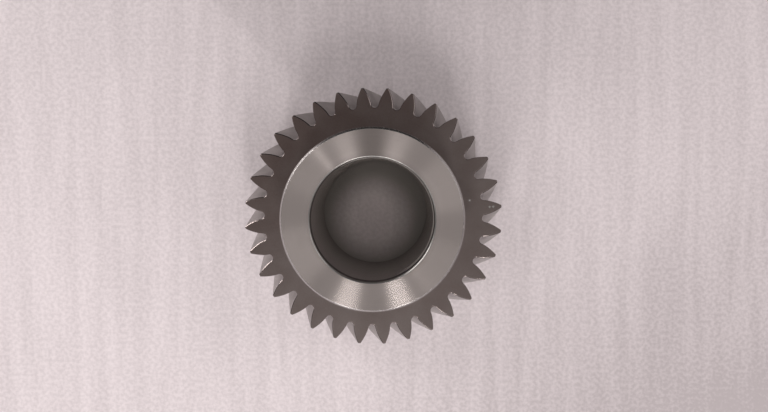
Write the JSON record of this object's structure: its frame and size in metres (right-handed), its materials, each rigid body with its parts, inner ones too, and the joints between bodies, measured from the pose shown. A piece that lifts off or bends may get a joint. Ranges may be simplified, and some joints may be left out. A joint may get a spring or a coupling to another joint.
{
  "type": "helical gear",
  "caption": "Right-hand helical gear with deep involute teeth, a plain ground bore and a tall hub, shrunk on a gearbox shaft to drive a mating helical gear.",
  "frame": {"origin": "on the bore's axis, at the lower hub face that the gear stands on", "axes": "+Z along the bore's axis towards the tall hub; +X through the middle of a tooth gap where the gap leaves the lower side"},
  "size_m": [0.1494, 0.1494, 0.0545],
  "materials": {
    "steel": "case-hardened gear steel: dark disc and tooth ends, ground flanks and bore, bright turned hub face"
  },
  "bodies": {
    "root": {"helical_gear": "steel"}
  },
  "joints": []
}
